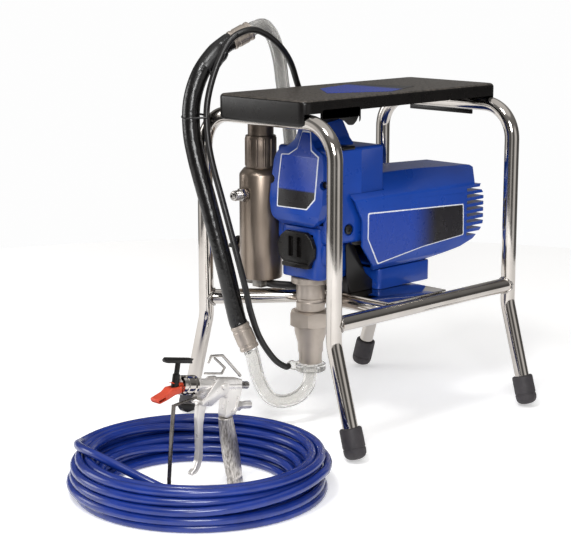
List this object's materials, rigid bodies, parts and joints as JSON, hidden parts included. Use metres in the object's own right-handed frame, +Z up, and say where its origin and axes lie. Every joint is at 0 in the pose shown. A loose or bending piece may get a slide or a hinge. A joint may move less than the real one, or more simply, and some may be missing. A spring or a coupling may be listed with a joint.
{
  "type": "airless paint sprayer",
  "caption": "Electric airless paint sprayer on a chromed tube stand with a piston pump, suction hoses, a spray gun and a coiled blue paint hose.",
  "frame": {"origin": "middle of the footprint of the stand and the gun together, on the floor", "axes": "+Z up, -Y towards the pump side and the spray gun, +X to the right seen from the pump side"},
  "size_m": [0.4423, 0.767, 0.5595],
  "materials": {
    "chromed_tube": "mirror-bright chrome plate on steel tube and plate",
    "tool_steel": "machined steel",
    "plated_body": "satin nickel plate, warm grey",
    "cast_pump": "fine machined grey metal",
    "blue_paint": "smooth semi-gloss blue paint",
    "blue_hose": "smooth blue hose cover",
    "black_plastic": "fine-textured black plastic",
    "black_paint": "satin black paint",
    "rubber": "matt black rubber",
    "clear_plastic": "translucent clear plastic hose",
    "orange_plastic": "orange-red moulded plastic",
    "aluminium": "polished cast aluminium",
    "circuit": "green circuit board laminate"
  },
  "bodies": {
    "stand_and_drive": {"front_hoop": "chromed_tube", "rear_hoop": "chromed_tube", "right_rail": "chromed_tube", "front_cross_tube": "chromed_tube", "rear_cross_tube": "chromed_tube", "mounting_plate": "chromed_tube", "foot_front_right": "rubber", "foot_front_left": "rubber", "foot_rear_right": "rubber", "foot_rear_left": "rubber", "seat": "black_plastic", "drive_housing": "blue_paint", "front_cover": "blue_paint", "rod_cover": "black_plastic", "support_bracket": "black_paint", "motor_shield": "blue_paint", "motor_stator": "tool_steel", "control_box": "blue_paint", "circuit_board": "circuit", "cord_gland": "black_plastic", "pump_cylinder": "cast_pump", "jam_nut": "cast_pump", "intake_valve": "cast_pump", "suction_clip": "clear_plastic", "filter_manifold": "plated_body", "filter_cap": "plated_body", "filter_element": "tool_steel", "outlet_fitting": "chromed_tube", "manifold_elbow": "tool_steel", "transfer_hose": "rubber", "clear_hose_lower": "clear_plastic", "ferrule_lower": "cast_pump", "suction_sleeve": "rubber", "ferrule_upper": "cast_pump", "clear_hose_upper": "clear_plastic", "suction_strainer": "tool_steel", "drain_tube": "rubber", "hose_coil": "blue_hose", "hose_connector": "tool_steel", "far_connector": "tool_steel"},
    "crank": {"crankshaft": "tool_steel"},
    "reduction": {"reduction_gear": "tool_steel"},
    "motor_rotor": {"armature": "tool_steel", "cooling_fan": "black_plastic"},
    "pump_piston": {"connecting_rod": "cast_pump", "pump_rod": "chromed_tube"},
    "valve_ball": {"intake_ball": "tool_steel"},
    "prime_handle": {"prime_knob": "black_plastic"},
    "pressure_control": {"pressure_knob": "black_plastic"},
    "switch_rocker": {"power_switch": "black_plastic"},
    "gun": {"gun_body": "aluminium", "gun_handle": "plated_body", "retaining_nut": "chromed_tube", "trigger_guard": "tool_steel", "gun_hook": "tool_steel"},
    "gun_trigger": {"trigger": "aluminium"},
    "needle": {"gun_needle": "tool_steel"},
    "lock_lever": {"trigger_lock": "black_plastic"},
    "spray_guard": {"tip_guard": "orange_plastic"},
    "spray_tip": {"tip_handle": "black_plastic"}
  },
  "joints": [
    {"name": "crank_spin", "type": "hinge", "parent": "stand_and_drive", "child": "crank", "pos_m": [0, 0.0926, 0.339], "axis": [0, 1, 0], "continuous": true},
    {"name": "reduction_spin", "type": "hinge", "parent": "stand_and_drive", "child": "reduction", "pos_m": [-0.022, 0.0976, 0.3139], "axis": [0, 1, 0], "continuous": true},
    {"name": "armature_spin", "type": "hinge", "parent": "stand_and_drive", "child": "motor_rotor", "pos_m": [0, 0.1426, 0.288], "axis": [0, 1, 0], "continuous": true},
    {"name": "pump_stroke", "type": "slide", "parent": "stand_and_drive", "child": "pump_piston", "axis": [0, 0, 1], "range_m": [-0.024, 0]},
    {"name": "intake_ball_lift", "type": "slide", "parent": "stand_and_drive", "child": "valve_ball", "axis": [0, 0, 1], "range_m": [0, 0.004]},
    {"name": "prime_turn", "type": "hinge", "parent": "stand_and_drive", "child": "prime_handle", "pos_m": [-0.1235, 0.0226, 0.243], "axis": [-1, 0, 0], "range_deg": [0, 90]},
    {"name": "pressure_turn", "type": "hinge", "parent": "stand_and_drive", "child": "pressure_control", "pos_m": [-0.066, 0.1546, 0.204], "axis": [-1, 0, 0], "range_deg": [0, 270]},
    {"name": "switch_rock", "type": "hinge", "parent": "stand_and_drive", "child": "switch_rocker", "pos_m": [-0.058, 0.1936, 0.203], "axis": [0, -1, 0], "range_deg": [0, 20]},
    {"name": "gun_lift", "type": "slide", "parent": "stand_and_drive", "child": "gun", "axis": [0, 0, 1], "range_m": [0, 0.3]},
    {"name": "trigger_pull", "type": "hinge", "parent": "gun", "child": "gun_trigger", "pos_m": [0.12, -0.24123, 0.13472], "axis": [1, 0, 0], "range_deg": [0, 18], "stiffness_Nm_per_rad": 0.6, "springref_deg": -11.46},
    {"name": "needle_slide", "type": "slide", "parent": "gun", "child": "needle", "axis": [0, 0.9816, -0.1908], "range_m": [0, 0.0026]},
    {"name": "lock_turn", "type": "hinge", "parent": "gun", "child": "lock_lever", "pos_m": [0.12, -0.2941, 0.11953], "axis": [0, 0.1908, 0.9816], "range_deg": [0, 90]},
    {"name": "guard_turn", "type": "hinge", "parent": "gun", "child": "spray_guard", "pos_m": [0.12, -0.31142, 0.14836], "axis": [0, 0.9816, -0.1908], "range_deg": [0, 90]},
    {"name": "tip_turn", "type": "hinge", "parent": "spray_guard", "child": "spray_tip", "pos_m": [0.12, -0.30951, 0.15818], "axis": [0, 0.1908, 0.9816], "range_deg": [0, 180]}
  ],
  "couplings": [
    {"joint": "reduction_spin", "follows": "crank_spin", "ratio": -2.8},
    {"joint": "armature_spin", "follows": "crank_spin", "ratio": 6.72},
    {"joint": "needle_slide", "follows": "trigger_pull", "m_per_rad": 0.008}
  ]
}
